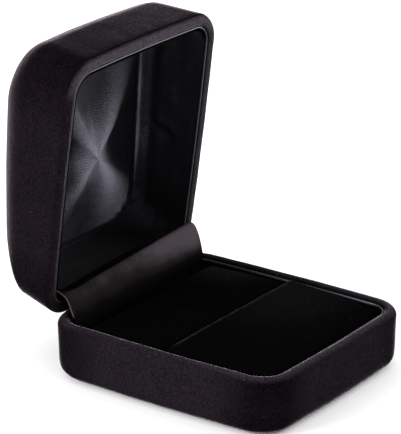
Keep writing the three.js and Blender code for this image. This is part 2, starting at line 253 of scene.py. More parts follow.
def object_coordinates(tree):
    """The object's own coordinates, in millimetres."""
    coordinates = node(tree, "ShaderNodeTexCoord")
    mapping = node(tree, "ShaderNodeMapping", Scale=(1000, 1000, 1000))
    tree.links.new(coordinates.outputs["Object"], mapping.inputs["Vector"])
    return mapping.outputs["Vector"]


def noise_texture(tree, vector, scale, detail=2.0, roughness=0.5):
    made = node(tree, "ShaderNodeTexNoise", Scale=scale, Detail=detail, Roughness=roughness)
    tree.links.new(vector, made.inputs["Vector"])
    return made.outputs["Fac"]


def maths(tree, operation, a, b=None, c=None):
    made = node(tree, "ShaderNodeMath", operation=operation)
    for socket, value in zip(made.inputs, (a, b, c)):
        if value is None:
            continue
        if isinstance(value, (int, float)):
            socket.default_value = value
        else:
            tree.links.new(value, socket)
    return made.outputs["Value"]


def mix_colour(tree, factor, a, b):
    made = node(tree, "ShaderNodeMix", data_type="RGBA")
    for socket, value in ((made.inputs[0], factor), (made.inputs[6], a), (made.inputs[7], b)):
        if isinstance(value, tuple):
            socket.default_value = (*value, 1)
        elif isinstance(value, (int, float)):
            socket.default_value = value
        else:
            tree.links.new(value, socket)
    return made.outputs[2]


def bump(tree, height, distance, strength=1.0, normal=None):
    made = node(tree, "ShaderNodeBump", Strength=strength, Distance=distance)
    tree.links.new(height, made.inputs["Height"])
    if normal is not None:
        tree.links.new(normal, made.inputs["Normal"])
    return made.outputs["Normal"]


LINT_COLOUR = (0.3, 0.28, 0.3)


def velvet(name, dark, light, painted_sheen, sheen, tint, lint):
    """Short-nap velvet: mottled patches, a fine pile, a paler painted sheen where a vertex attribute asks
    for it, and a little lint.
    """
    material, tree, shader = new_material(name)
    at = object_coordinates(tree)
    patches = noise_texture(tree, at, 0.16, 5.0, 0.6)
    pile = noise_texture(tree, at, 2.4, 2.0, 0.8)
    shade = maths(tree, "ADD", maths(tree, "MULTIPLY", patches, 0.3), maths(tree, "MULTIPLY", pile, 0.7))
    colour = ramp(tree, shade, [(0.3, dark), (0.7, light)])
    # A painted sheen: a paler colour mixed in by a vertex attribute, grainy with the pile.
    lift = node(tree, "ShaderNodeAttribute", attribute_name="painted_sheen").outputs["Fac"]
    painted_sheen_mix = maths(tree, "MULTIPLY", lift, maths(tree, "MULTIPLY_ADD", pile, 3.0, -0.5))
    colour = mix_colour(tree, painted_sheen_mix, colour, painted_sheen)
    cells = node(tree, "ShaderNodeTexVoronoi", Scale=0.55, Randomness=1.0)
    tree.links.new(at, cells.inputs["Vector"])
    near = maths(tree, "LESS_THAN", cells.outputs["Distance"], 0.03)
    keep = maths(tree, "GREATER_THAN", noise_texture(tree, at, 0.3), 0.5)
    specks = maths(tree, "MULTIPLY", near, maths(tree, "MULTIPLY", keep, lint))
    colour = mix_colour(tree, specks, colour, LINT_COLOUR)
    tree.links.new(colour, shader.inputs["Base Color"])
    shader.inputs["Roughness"].default_value = 0.95
    shader.inputs["Specular IOR Level"].default_value = 0.0
    shader.inputs["Sheen Weight"].default_value = sheen
    shader.inputs["Sheen Roughness"].default_value = 0.18
    shader.inputs["Sheen Tint"].default_value = (*tint, 1)
    rough = bump(tree, pile, 0.0002, 0.45)
    tree.links.new(bump(tree, patches, 0.0005, 0.3, rough), shader.inputs["Normal"])
    return material


def satin():
    """Black satin: a fine weave, with a painted highlight from a vertex attribute, brightest on the hips and
    point of the puffed back.
    """
    material, tree, shader = new_material("black_satin")
    uv = node(tree, "ShaderNodeUVMap", uv_map="thread")
    threads = []
    for direction in ("X", "Y"):
        wave = node(tree, "ShaderNodeTexWave", Scale=0.58, Distortion=0.8, wave_type="BANDS",
                    bands_direction=direction)
        tree.links.new(uv.outputs["UV"], wave.inputs["Vector"])
        threads.append(wave.outputs["Fac"])
    woven = maths(tree, "MULTIPLY", *threads)
    at = object_coordinates(tree)
    cloudy = noise_texture(tree, at, 0.3, 3.0, 0.6)
    grain = noise_texture(tree, at, 2.2, 2.0, 0.6)
    painted_shine = node(tree, "ShaderNodeAttribute", attribute_name="painted_shine").outputs["Fac"]
    showing = maths(tree, "MULTIPLY", woven, maths(tree, "MULTIPLY_ADD", cloudy, 2.4, -0.7))
    speckled = maths(tree, "MULTIPLY_ADD", showing, 0.5, maths(tree, "MULTIPLY_ADD", grain, 0.7, 0.5))
    # Painted highlight: the vertex attribute lifts the colour up the ramp to a pale grey.
    lit = maths(tree, "MULTIPLY", painted_shine, speckled)
    colour = ramp(tree, lit, [(0.0, (0.0012, 0.0012, 0.0014)), (0.35, (0.008, 0.0078, 0.0095)),
                              (1.0, (0.17, 0.162, 0.2))])
    tree.links.new(colour, shader.inputs["Base Color"])
    slack = maths(tree, "MAXIMUM", maths(tree, "MULTIPLY_ADD", painted_shine, -1.2, 0.55), 0.36)
    tree.links.new(maths(tree, "MULTIPLY_ADD", cloudy, 0.16, slack), shader.inputs["Roughness"])
    shader.inputs["Specular IOR Level"].default_value = 0.1
    shader.inputs["Specular Tint"].default_value = (0.86, 0.86, 1.0, 1)
    fine = bump(tree, woven, 0.00004, 0.5)
    tree.links.new(bump(tree, cloudy, 0.0005, 0.25, fine), shader.inputs["Normal"])
    return material


def suede():
    """Thin suede: a matt nap, with painted light from a vertex attribute: a painted reflection paler towards
    the upper right, and painted shade darker low down.
    """
    material, tree, shader = new_material("charcoal_suede")
    at = object_coordinates(tree)
    nap = noise_texture(tree, at, 2.4, 4.0, 0.7)
    cloudy = noise_texture(tree, at, 0.25, 2.0)
    # Painted light and shade of the flap, from a vertex attribute.
    painted_flap_light = node(tree, "ShaderNodeAttribute", attribute_name="painted_flap_light").outputs["Fac"]
    uneven = maths(tree, "MULTIPLY_ADD", nap, 0.35, maths(tree, "MULTIPLY_ADD", cloudy, 0.5, 0.55))
    shade = maths(tree, "MULTIPLY", painted_flap_light, uneven)
    colour = ramp(tree, shade, [(0.0, (0.0004, 0.0003, 0.0003)), (0.3, (0.0032, 0.0028, 0.0029)),
                                (0.5, (0.0115, 0.0097, 0.0103)), (0.85, (0.052, 0.044, 0.05))])
    tree.links.new(colour, shader.inputs["Base Color"])
    shader.inputs["Roughness"].default_value = 0.7
    shader.inputs["Specular IOR Level"].default_value = 0.0
    tree.links.new(bump(tree, nap, 0.0001, 0.5), shader.inputs["Normal"])
    return material


def metal(name, colour, roughness):
    material, tree, shader = new_material(name)
    at = object_coordinates(tree)
    stretched = node(tree, "ShaderNodeMapping", Scale=(0.15, 3, 3))
    tree.links.new(at, stretched.inputs["Vector"])
    scratches = noise_texture(tree, stretched.outputs["Vector"], 6.0, 3.0)
    darker = tuple(0.8 * c for c in colour)
    tree.links.new(ramp(tree, scratches, [(0.3, darker), (0.7, colour)]), shader.inputs["Base Color"])
    shader.inputs["Metallic"].default_value = 1.0
    spread = maths(tree, "ADD", maths(tree, "MULTIPLY", scratches, 0.15), roughness)
    tree.links.new(spread, shader.inputs["Roughness"])
    tree.links.new(bump(tree, scratches, 0.00003, 0.3), shader.inputs["Normal"])
    return material


def matt(name, dark, light, scale):
    """Card, foam and wadding: a mottled, matt surface."""
    material, tree, shader = new_material(name)
    at = object_coordinates(tree)
    grain = noise_texture(tree, at, scale, 4.0, 0.65)
    tree.links.new(ramp(tree, grain, [(0.3, dark), (0.7, light)]), shader.inputs["Base Color"])
    shader.inputs["Roughness"].default_value = 0.92
    tree.links.new(bump(tree, grain, 0.0002, 0.6), shader.inputs["Normal"])
    return material


# The palest colour of each velvet is its painted sheen.
BLACK_VELVET = velvet("black_velvet", dark=(0.0002, 0.0001, 0.0002), light=(0.0075, 0.0053, 0.0072),
                      painted_sheen=(0.05, 0.041, 0.052), sheen=0.62, tint=(0.95, 0.82, 0.93), lint=0.5)
PAD_VELVET = velvet("pad_velvet", dark=(0.0006, 0.0006, 0.0006), light=(0.0019, 0.0019, 0.002),
                    painted_sheen=(0.024, 0.023, 0.026), sheen=0.006, tint=(0.8, 0.8, 0.9), lint=0.3)
BLACK_SATIN = satin()
SUEDE = suede()
STEEL = metal("bright_steel", (0.42, 0.42, 0.44), 0.25)
BAND_STEEL = metal("blackened_steel", (0.07, 0.07, 0.08), 0.35)
SPRING_STEEL = metal("spring_steel", (0.35, 0.37, 0.42), 0.3)
CARD = matt("black_card", (0.008, 0.008, 0.008), (0.016, 0.016, 0.015), 1.2)
FOAM = matt("dark_foam", (0.02, 0.02, 0.022), (0.05, 0.05, 0.054), 2.5)
WADDING = matt("wadding", (0.5, 0.49, 0.45), (0.72, 0.7, 0.66), 0.8)

CAD_MATERIALS = {
    STEEL: ["base_shell", "base_hinge_leaf", "hinge_pin", "base_rivet_left", "base_rivet_right",
            "lid_shell", "lid_hinge_leaf", "lid_rivet_left", "lid_rivet_right"],
    CARD: ["base_board", "lid_card"],
    FOAM: ["front_pad_core", "rear_pad_core"],
    WADDING: ["lid_padding"],
}


def dress_cad_nodes():
    """Gives each carried-over node its detailed material."""
    for material, names in CAD_MATERIALS.items():
        for name in names:
            mesh = frame["nodes"][name].data
            mesh.materials.clear()
            mesh.materials.append(material)


# ---- velvet coverings ---------------------------------------------------------------
def quarter(steps):
    return np.linspace(0, math.pi / 2, steps + 1)


# How much painted sheen lies across the rim: places along the lip's profile, and the amount at each.
LIP_POINTS = 15
BASE_LIP_SHEEN = ([2, 6, 9, 11, 13], [0, 0.7, 1.0, 0.6, 0])
LID_LIP_SHEEN = ([2, 5, 9, 12, 14], [0, 0.9, 1, 0.9, 0])
# How much painted sheen lies on the walls, and how far the points lie off the middle of the box.
BASE_WALL_SHEEN = {"sides": 0.12, "ends": 0.08, "shift": 0}
LID_WALL_SHEEN = {"sides": 0.05, "ends": 0, "shift": PIVOT[1]}


def lip_profile(rim, rise):
    """(inset, height) over the soft rim, from the outer wall to the turned-in edge.

    "rise" is 1 where the rim faces up, and -1 where it faces down.
    """
    inner = 0.8
    dip = 0.024
    inside = LIP_WIDTH - 0.5
    over = [(LIP_R * (1 - math.cos(a)), rim - rise * LIP_R * (1 - math.sin(a))) for a in quarter(8)]
    middle = [(LIP_R + 0.05, rim), (LIP_WIDTH - inner - 0.02, rim - rise * dip)]
    down = [(LIP_WIDTH - inner * (1 - math.sin(a)), rim - rise * (0.05 + inner * (1 - math.cos(a))))
            for a in quarter(5)[1:]]
    tucked = [(LIP_WIDTH, rim - rise * 2.0), (LIP_WIDTH, rim - rise * 3.5), (inside, rim - rise * 3.5),
              (inside - 0.05, rim - rise * 1.1), (VELVET, rim - rise * 1.05)]
    return over + middle + down + tucked


def clear_hinge(points, rear, rim, rise):
    """Draws the soft rim down and back where the hinge crosses the rear wall."""
    x, y, z = points.T.copy()
    at_rear = smoothstep((y - (rear - 4.5)) / 1.0)
    inside = 1 - smoothstep((np.abs(x) - NOTCH_HALF + 0.3) / 0.9)
    share = at_rear * inside
    level = rim - rise * 1.3
    lowered = np.minimum(z, level) if rise > 0 else np.maximum(z, level)
    pulled = np.maximum(y, rear - VELVET)
    in_lip = smoothstep(((z - level) * rise + 2.6) / 0.3)
    return np.c_[x, y + (pulled - y) * share * in_lip, z + (lowered - z) * share]


def base_lip_sheen_share(plan):
    """Less painted sheen on the base's rim at the back than at the front."""
    return 0.3 + 0.2 * smoothstep(-plan[:, 1] / 20.0)


def lid_lip_sheen_share(plan):
    """Painted sheen on the lid's rim: along its front edge, and a little towards the right."""
    forward = smoothstep((-plan[:, 1] - PIVOT[1] - 19) / 6)
    return np.maximum(0.9 * forward, 0.12 + 0.5 * smoothstep(plan[:, 0] / 20.0))


def base_covering():
    """Velvet over the base: under the edge of its foot, up the wall, over the rim and back inside."""
    wall = [(BASE_DRAFT * (1 - z / RIM), z) for z in np.linspace(FILLET, RIM - LIP_R, 9)[1:-1]]
    outer = [(BASE_DRAFT + FILLET * (1 - math.cos(a)), FILLET * (1 - math.sin(a)))
             for a in quarter(8)[::-1]]
    inner = [(VELVET + BASE_DRAFT + FILLET * (1 - math.cos(a)), VELVET + FILLET * (1 - math.sin(a)))
             for a in quarter(6)]
    rings = [ring(FILLET + 6, 0, CORNER_R - 1)]
    rings += [ring(i, z, CORNER_R - 0.6 * i) for i, z in outer + wall]
    first_lip = len(rings)
    rings += [ring(i, z, CORNER_R - i) for i, z in lip_profile(RIM, 1)]
    rings += [ring(i, z, CORNER_R - 0.6 * i) for i, z in inner]
    vertices, faces = loft(rings)
    vertices = clear_hinge(vertices, HALF_Y, RIM, 1)
    underside = vertices[:, 2] < 0.02
    rough = roughen(roughen(vertices, 0.03, 2.2), 0.07, 9.0, 5.0)
    vertices = np.where(underside[:, None], vertices, rough)
    vertices[:, 2] = np.maximum(vertices[:, 2], 0)
    # Painted sheen over the rim and along the walls.
    painted_sheen = painted_sheen_amounts(rings, first_lip, BASE_LIP_SHEEN, base_lip_sheen_share, BASE_WALL_SHEEN)
    obj = piece("base_covering", vertices, faces, BLACK_VELVET, "base", ["base_velvet"])
    set_attribute(obj, "painted_sheen", np.append(painted_sheen, [0, 0]))
    return obj


def painted_sheen_amounts(rings, first, across, share, walls):
    """How much painted sheen lies at each point: over the rim, and on the walls away from the corners.

    "first" is the lip's first ring, "across" spreads the painted sheen over the rim, "share" varies it in
    plan, and "walls" is its amount on the walls.
    """
    n = len(rings[0])
    plan = np.vstack(rings)
    cornered = np.minimum(np.abs(plan[:, 0]) / HALF_X, np.abs(plan[:, 1] + walls["shift"]) / HALF_Y)
    on_side = smoothstep((np.abs(plan[:, 0]) - 15) / 6)
    on_wall = walls["sides"] * on_side + walls["ends"] * (1 - on_side)
    # Painted sheen on the walls, fading out towards the corners.
    painted_sheen = (1 - smoothstep((cornered - 0.4) / 0.45)) * on_wall
    for k, amount in enumerate(np.interp(range(LIP_POINTS), *across)):
        row = slice((first + k) * n, (first + k + 1) * n)
        lip = amount * share(rings[first + k])
        painted_sheen[row] = np.maximum(lip, painted_sheen[row] * (k < across[0][1]))
    return painted_sheen


def crown_profile(t, steps):
    """(inset, height, corner radius) of the lid's outside, one layer in by t, from wall to top."""
    wall = LID_HEIGHT - SHOULDER_HEIGHT
    e = 2 / SHOULDER_POWER
    rows = []
    for a in quarter(steps):
        s = wall - t + SHOULDER_HEIGHT * math.sin(a) ** e
        inset = t + LID_DRAFT * s / LID_HEIGHT + SHOULDER_WIDTH * (1 - max(math.cos(a), 0) ** e)
        rows.append((inset, s, CORNER_R + (TOP_CORNER_R - CORNER_R) * s / LID_HEIGHT - t))
    return rows


def lid_covering():
    """Velvet over the lid: its flat top, the shoulder, the wall, the rim and back inside."""
    crown = crown_profile(0, 18)
    start = LIP_R
    end = crown[0][1]
    wall = []
    for s in np.linspace(start, end, 9)[1:-1]:
        share = (s - start) / (end - start)
        radius = CORNER_R + share * (crown[0][2] - CORNER_R)
        wall.append((share * crown[0][0], s, radius))
    inset, height, radius = crown[-1]
    rings = [lid_ring(inset + extra, height + 0.04 * extra / 4, radius - 0.3 * extra)
             for extra in (11, 8, 5, 2.5)]
    rings += [lid_ring(*row) for row in crown[::-1] + wall[::-1]]
    first_lip = len(rings)
    rings += [lid_ring(i, s, CORNER_R - i) for i, s in lip_profile(0, -1)]
    rings += [lid_ring(*row) for row in crown_profile(VELVET, 9)]
    vertices, faces = loft(rings)
    vertices = clear_hinge(vertices, HALF_Y - PIVOT[1], RIM_GAP / 2, -1)
    vertices = roughen(roughen(vertices, 0.03, 2.2, 9.0), 0.08, 9.0, 2.0)
    # Painted sheen over the rim and along the walls.
    painted_sheen = painted_sheen_amounts(rings, first_lip, LID_LIP_SHEEN, lid_lip_sheen_share, LID_WALL_SHEEN)
    obj = piece("lid_covering", opened(vertices), faces, BLACK_VELVET, "lid", ["lid_velvet"])
    set_attribute(obj, "painted_sheen", np.append(painted_sheen, [0, 0]))
    return obj


# ---- rim bands and liner ---------------------------------------------------------------
BAND = {"inset": 2.65, "width": 0.32}
LINER = {"inset": 3.02, "width": 0.26}
HINGE_SIDE = {"base": 20, "lid": -7}    # the y beyond which a strip makes room for the hinge


def thin_band(name, size, low, high, material, body, replaces):
    """A strip round the inside of the rim with a rounded top edge, left out where the hinge crosses."""
    placed = lid_ring if body == "lid" else ring
    inset = size["inset"]
    r = size["width"] / 2
    top = [(inset + r - r * math.cos(a), high + (r * math.sin(a)) * np.sign(high - low))
           for a in np.linspace(0, math.pi, 7)]
    profile = [(inset, low)] + top + [(inset + size["width"], low)]
    rings = [placed(i, z, CORNER_R - i) for i, z in profile]
    vertices, faces = loft(rings, band=True)
    n = len(rings[0])
    middle = vertices.reshape(len(rings), n, 3).mean(0)
    gone = (np.abs(middle[:, 0]) < NOTCH_HALF) & (middle[:, 1] > HINGE_SIDE[body])
    faces = [f for f in faces if not any(gone[v % n] for v in f)]
    for j in range(n):
        gone_after = gone[(j + 1) % n]
        if not gone[j] and (gone_after or gone[j - 1]):
            loop = [i * n + j for i in range(len(rings))]
            faces.append(tuple(loop if gone_after else loop[::-1]))
    used = sorted({v for f in faces for v in f})
    index = {v: i for i, v in enumerate(used)}
    vertices = vertices[used]
    faces = [tuple(index[v] for v in f) for f in faces]
    if body == "lid":
        vertices = opened(vertices)
    return piece(name, vertices, faces, material, body, [replaces])


def rim_bands():
    thin_band("base_band", BAND, RIM - 6, RIM - 0.8, BAND_STEEL, "base", "base_rim_band")
    thin_band("lid_band", BAND, 6, 0.6, BAND_STEEL, "lid", "lid_rim_band")


def liner():
    thin_band("velvet_liner", LINER, 3.2, 11.4, PAD_VELVET, "base", "base_liner")


# ---- ring pads ---------------------------------------------------------------------------
CLOTH_SCALE = 20.0        # the cover is simulated this many times larger
CLOTH_FRAMES = 16
FOOT_HEIGHT = 1.0         # how much of the cover's foot is held
MOST_RISE = 0.5           # how far the air may lift the cover


def plumped(obj):
    """Puffs a pad's cover up with air pressure, held at its foot; only heights are taken."""
    mesh = obj.data.copy()
    flat = np.empty(len(mesh.vertices) * 3)
    mesh.vertices.foreach_get("co", flat)
    mesh.vertices.foreach_set("co", flat * CLOTH_SCALE)
    copy = bpy.data.objects.new("plumping", mesh)
    bpy.context.scene.collection.objects.link(copy)
    foot = copy.vertex_groups.new(name="foot")
    low = (PAD_FLOOR + FOOT_HEIGHT) * MM * CLOTH_SCALE
    foot.add([v.index for v in mesh.vertices if v.co.z < low], 1.0, "REPLACE")
    cloth = copy.modifiers.new("cloth", "CLOTH")
    settings = cloth.settings
    settings.vertex_group_mass = "foot"
    settings.quality = 6
    settings.mass = 0.2
    settings.tension_stiffness = settings.compression_stiffness = 30
    settings.bending_stiffness = 0.6
    settings.use_pressure = True
    settings.uniform_pressure_force = 2.5
    settings.shrink_min = -0.02
    settings.effector_weights.gravity = 0
    cloth.point_cache.frame_end = CLOTH_FRAMES
    scene = bpy.context.scene
    for frame_number in range(1, CLOTH_FRAMES + 1):
        scene.frame_set(frame_number)
    evaluated = copy.evaluated_get(bpy.context.evaluated_depsgraph_get()).data
    puffed = np.empty(len(mesh.vertices) * 3)
    evaluated.vertices.foreach_get("co", puffed)
    before = flat.reshape(-1, 3)
    after = puffed.reshape(-1, 3) / CLOTH_SCALE
    most = MOST_RISE * MM
    lift = most * np.tanh(np.maximum(after[:, 2] - before[:, 2], 0) / most)
    before[:, 2] += lift
    obj.data.vertices.foreach_set("co", before.ravel())
    obj.data.update()
    scene.frame_set(1)
    bpy.data.objects.remove(copy)
    bpy.data.meshes.remove(mesh)


PAD_INSET = 3.32
PAD_FLOOR = 3.3
PAD_GRID = (64, 40)
SLIT_HALF = 0.15
REAR_PAD_END = 19.6
SIDE_DROP = 0.07          # how far the pads roll down at their sides
EDGE_WIDTH = 1.5          # how wide the roll is at their front and rear


def soft_edge(t):
    """How far a soft edge has rolled down: 1 at the edge itself, and 0 from t = 1 inwards."""
    return 1 - (1 - (1 - t) ** 2.4) ** 0.6


def pad_reach(y):
    """Half the width of a pad at y, which is less where the corners of the base are round."""
    half = HALF_X - PAD_INSET
    corner = CORNER_R - PAD_INSET
    depth = abs(y) - (HALF_Y - PAD_INSET - corner)
    if depth <= 0:
        return half
    return half - corner + math.sqrt(max(corner * corner - depth * depth, 0))


def pad_faces(nx, ny):
    """The faces of a grid above a copy of itself, closed all round."""
    width = nx + 1
    count = width * (ny + 1)
    faces = []
    for j in range(ny):
        for i in range(nx):
            a = j * width + i
            faces.append((a, a + 1, a + width + 1, a + width))
            faces.append((count + a + width, count + a + width + 1, count + a + 1, count + a))
    border = list(range(width))
    border += [j * width + nx for j in range(1, ny + 1)]
    border += [ny * width + i for i in range(nx - 1, -1, -1)]
    border += [j * width for j in range(ny - 1, 0, -1)]
    for k, a in enumerate(border):
        b = border[(k + 1) % len(border)]
        faces.append((b, a, count + a, count + b))
    return faces


def pad(name, y0, y1, heights, ease, painted_sheen, replaces):
    """A soft pad from y0 to y1: a grid rolled down at its edges.

    heights(u, v) gives its top, with u from left to right and v from front to rear. "ease" is how far
    its front and rear edges roll down, and raised(x, y) how much painted sheen it carries.
    """
    nx, ny = PAD_GRID
    half = HALF_X - PAD_INSET
    rows = []
    for j in range(ny + 1):
        v = j / ny
        y = y0 + (y1 - y0) * v
        end = min(min(v, 1 - v) * (y1 - y0) / EDGE_WIDTH, 1)
        for i in range(nx + 1):
            u = i / nx
            x = pad_reach(y) * (2 * u - 1)
            side = min((1 - abs(2 * u - 1)) * half, 1)
            drop = SIDE_DROP * soft_edge(side) + ease[int(v > 0.5)] * soft_edge(end)
            rows.append((x, y, PAD_FLOOR + (heights(u, v) - PAD_FLOOR) * (1 - drop)))
    top = np.array(rows)
    bottom = top.copy()
    bottom[:, 2] = PAD_FLOOR
    vertices = np.vstack([roughen(top, 0.06, 5.0, 4.0), bottom])
    obj = piece(name, vertices, pad_faces(nx, ny), PAD_VELVET, "base", replaces)
    # Painted highlight on the pad, kept as a vertex attribute.
    set_attribute(obj, "painted_sheen", [painted_sheen(x, y) for x, y, _ in vertices])
    plumped(obj)
    return obj


def crowned(u, v):
    return 0.4 * math.sin(math.pi * v) * math.sin(math.pi * u)


def front_height(u, v):
    return 10.8 + 2.0 * v + crowned(u, v)


def rear_height(u, v):
    return 11.6 - 0.5 * v + crowned(u, v)


def front_pad_sheen(x, y):
    """A painted highlight along the edge of the slit, broken up unevenly, and a faint painted light towards
    the right.
    """
    patchy_highlight = 0.8 + 0.9 * noise.noise(Vector((0.9 * x, 4.0, 0.0)))
    edge = patchy_highlight * math.exp(-((y + 1.35) / 0.48) ** 2) * smoothstep((x + 21.5) / 3)
    return edge + 0.1 * smoothstep((x + 12) / 26) * smoothstep((y + 24) / 18)


def rear_pad_sheen(x, y):
    # A faint painted light towards the right rear.
    return 0.2 * smoothstep((x - 8) / 14) * smoothstep((y - 1) / 14)


def ring_pads():
    """The two halves of the ring pad, with the slit between them."""
    pad("front_pad", -HALF_Y + PAD_INSET, -SLIT_HALF, front_height, (0.2, 0.2), front_pad_sheen,
        ["front_pad_cover", "front_pad_core"])
    pad("rear_pad", SLIT_HALF, REAR_PAD_END, rear_height, (0.2, 0.06), rear_pad_sheen,
        ["rear_pad_cover", "rear_pad_core"])


# ---- satin lining ---------------------------------------------------------------------------
LINING_INSET = 3.6
WALL_ROWS = [(0, 0.7), (0.1, 3), (0.25, 6), (0.5, 9), (0.9, 11.4), (1.3, 13.4), (1.75, 15.2), (2.1, 16.3)]
WALL_STEPS = 64
BACK_STEPS = 52
SAG = 2.3                 # how far the cloth falls back between the hips
HIP_WIDTH = 0.6           # as a share of half the way from one hip to the next
PUFF_POINT = (0.2, 2.2)   # where the blunt point lies in plan
POINT_HEIGHT = 8.4
POINT_BLUNTING = 2.0      # how far the point is pushed back
POINT_REACH = 0.28        # and how much of the way to the foot that takes up
PLEAT = {"s": 15.7, "width": 0.35, "height": 0.45, "y": (-22.0, 21.0)}
FOLD = {"from": (0.4, 13.2), "to": (3.2, 4.6), "depth": 0.55}
GATHER = {"x": 16.5, "y": 20.5, "reach": 4.0, "height": 0.6, "folds": 9}
# The middle of each corner among the points of an outline.
CORNER_SAMPLES = [CORNER_STEPS // 2 + k * (CORNER_STEPS + SIDE_STEPS) for k in range(4)]
# How bright the painted highlight is on the satin's hips: left and right at the front, left and right at the
# hinge.
HIP_SHINE = (0.48, 0.58, 0.52, 1.0)
# Painted light and shade between them: on the right, at the hinge, on the left and at the front.
FACE_SHINE = (0.15, 0.37, 0.2, 0.29)
# How quickly it fades beside a hip, in the order of the panels.
HIP_SHARPNESS = (5, 1.6, 7, 1.6)
WADDING_STEPS = 20


def hip_share(foot):
    """How near each point round the foot of the back is to a corner, 1 on a hip and 0 between hips."""
    count = len(foot)
    half = count // 2
    off = np.min([np.abs((np.arange(count) - k + half) % count - half) for k in CORNER_SAMPLES], 0)
    return np.exp(-(off / (HIP_WIDTH * count / 8)) ** 2)


def puffed_back(foot, steps, behind=0.0):
    """Rings from the foot of the back to its blunt point: straight hips, with cloth sagging between them."""
    hip = hip_share(foot)
    point = np.array([*PUFF_POINT, POINT_HEIGHT + behind])
    rings = []
    for k in range(1, steps + 1):
        t = max(1 - k / steps, 0.004)
        r = point + (foot - point) * t
        slack = SAG * math.sin(math.pi * t ** 0.9) ** 1.4
        r[:, 2] += slack * (1 - hip) + POINT_BLUNTING * math.exp(-(t / POINT_REACH) ** 2)
        rings.append(r)
    return rings


def lining_rings():
    position = np.linspace(0, len(WALL_ROWS) - 1, WALL_STEPS)
    rows = [np.interp(position, range(len(WALL_ROWS)), [row[c] for row in WALL_ROWS]) for c in (0, 1)]
    walls = [ring(LINING_INSET + i, s, CORNER_R - 3.3 + 1.7 * i) for i, s in zip(*rows)]
    return walls, puffed_back(walls[-1], BACK_STEPS)


def fold_depth(y, s):
    """A diagonal crease on the right wall: a furrow with a swelling along its upper side."""
    (y0, s0), (y1, s1) = FOLD["from"], FOLD["to"]
    length = math.hypot(y1 - y0, s1 - s0)
    along = ((y - y0) * (y1 - y0) + (s - s0) * (s1 - s0)) / length ** 2
    across = ((y - y0) * (s1 - s0) - (s - s0) * (y1 - y0)) / length
    taper = smoothstep(along / 0.25) * smoothstep((1 - along) / 0.4)
    return taper * (math.exp(-(across / 1.0) ** 2) - 0.8 * math.exp(-((across - 1.9) / 1.3) ** 2))


def crumple(points):
    """Soft creases in the satin of the side walls, and a fold where it is gathered at the corners."""
    moved = points.copy()
    for i, (x, y, s) in enumerate(points):
        side = math.copysign(1, x)
        on_wall = smoothstep((abs(x) - 17.5) / 2.0) * smoothstep((s - 1.0) / 3.0)
        crease = noise.noise(Vector((0.10 * y + 0.14 * s, 0.26 * s - 0.09 * y, 3.0 * side)))
        fine = noise.noise(Vector((0.35 * y, 0.5 * s - 0.2 * y, 7.0 * side)))
        low, high = PLEAT["y"]
        along = smoothstep((y - low) / 4.0) * smoothstep((high - y) / 4.0)
        pleat = PLEAT["height"] * along * math.exp(-((s - PLEAT["s"]) / PLEAT["width"]) ** 2)
        hollow = 0.35 * along * math.exp(-((s - PLEAT["s"] + 2.6) / 1.4) ** 2)
        on_side = smoothstep((abs(x) - 15.5) / 2.0)
        moved[i][0] -= side * on_wall * (0.22 * max(crease, -0.3) + 0.07 * max(fine, -0.2))
        moved[i][0] -= side * on_side * (pleat - hollow)
        if x > 0:
            moved[i][0] += on_side * FOLD["depth"] * fold_depth(y, s)
        back = noise.noise(Vector((0.13 * x, 0.13 * y, 11.0)))
        moved[i][2] += 0.25 * back * smoothstep((s - 8.0) / 4.0)
        away = math.hypot(abs(x) - GATHER["x"], y - GATHER["y"])
        turn = math.atan2(y - GATHER["y"], abs(x) - GATHER["x"])
        gather = math.sin(GATHER["folds"] * turn + 2.0 * side) * smoothstep((s - 9.0) / 4.0)
        spread = math.exp(-(away / GATHER["reach"]) ** 2) * smoothstep(away / 1.5)
        moved[i][2] -= GATHER["height"] * gather * spread
    return moved


def panel_shine(t, hip, foot):
    """The painted light round one ring of the back: t is 0 at its point and 1 at its foot."""
    rightness = smoothstep((foot[:, 0] + 8) / 16)
    nearness = smoothstep((foot[:, 1] + 8) / 16)
    side = np.digitize(np.arange(len(foot)), CORNER_SAMPLES) % 4
    face = np.array(FACE_SHINE)[side]
    crest = HIP_SHINE[0] * (1 - rightness) * (1 - nearness) + HIP_SHINE[1] * rightness * (1 - nearness)
    crest += HIP_SHINE[2] * (1 - rightness) * nearness + HIP_SHINE[3] * rightness * nearness
    turned = hip ** np.array(HIP_SHARPNESS)[side]
    # Painted highlight on the hips and painted light and shade on the faces between them, fading towards the
    # foot.
    painted_faces_and_hips = face + (crest - face) * turned * (1 - 0.3 * smoothstep((t - 0.4) / 0.6))
    # A painted highlight at the blunt point, and painted shade right at the foot.
    apex = math.exp(-(t / POINT_REACH) ** 2)
    return (apex + (1 - apex) * painted_faces_and_hips) * smoothstep((1.02 - t) / 0.1)


def wall_shine(x, y, s):
    """Painted light on a side wall: a painted highlight along the pleat, faint patchy painted sheen, and
    painted shade towards the hinge.
    """
    on_side = smoothstep((abs(x) - 17.0) / 2.0)
    crest = 0.42 * math.exp(-((s - PLEAT["s"]) / 0.3) ** 2) + 0.1 * smoothstep((s - 11.5) / 2.5)
    patchy_sheen = 0.27 + 0.12 * noise.noise(Vector((0.12 * y, 0.2 * s, 5.0))) - 0.004 * y
    # Painted shade towards the hinge.
    return on_side * (crest + patchy_sheen) * (0.25 + 0.75 * smoothstep((19.0 - y) / 8.0))


def map_threads(obj, vertices, walls):
    """Lays out the weave: round and up the walls, and flat across the back."""
    n = len(walls[0])
    around = np.r_[0, np.cumsum(np.linalg.norm(np.diff(walls[0], axis=0), axis=1))]
    thread = obj.data.uv_layers.new(name="thread")
    for loop in obj.data.loops:
        index = loop.vertex_index
        x, y, s = vertices[index]
        on_wall = index < len(walls) * n
        thread.data[loop.index].uv = (around[index % n], s) if on_wall else (x, y)


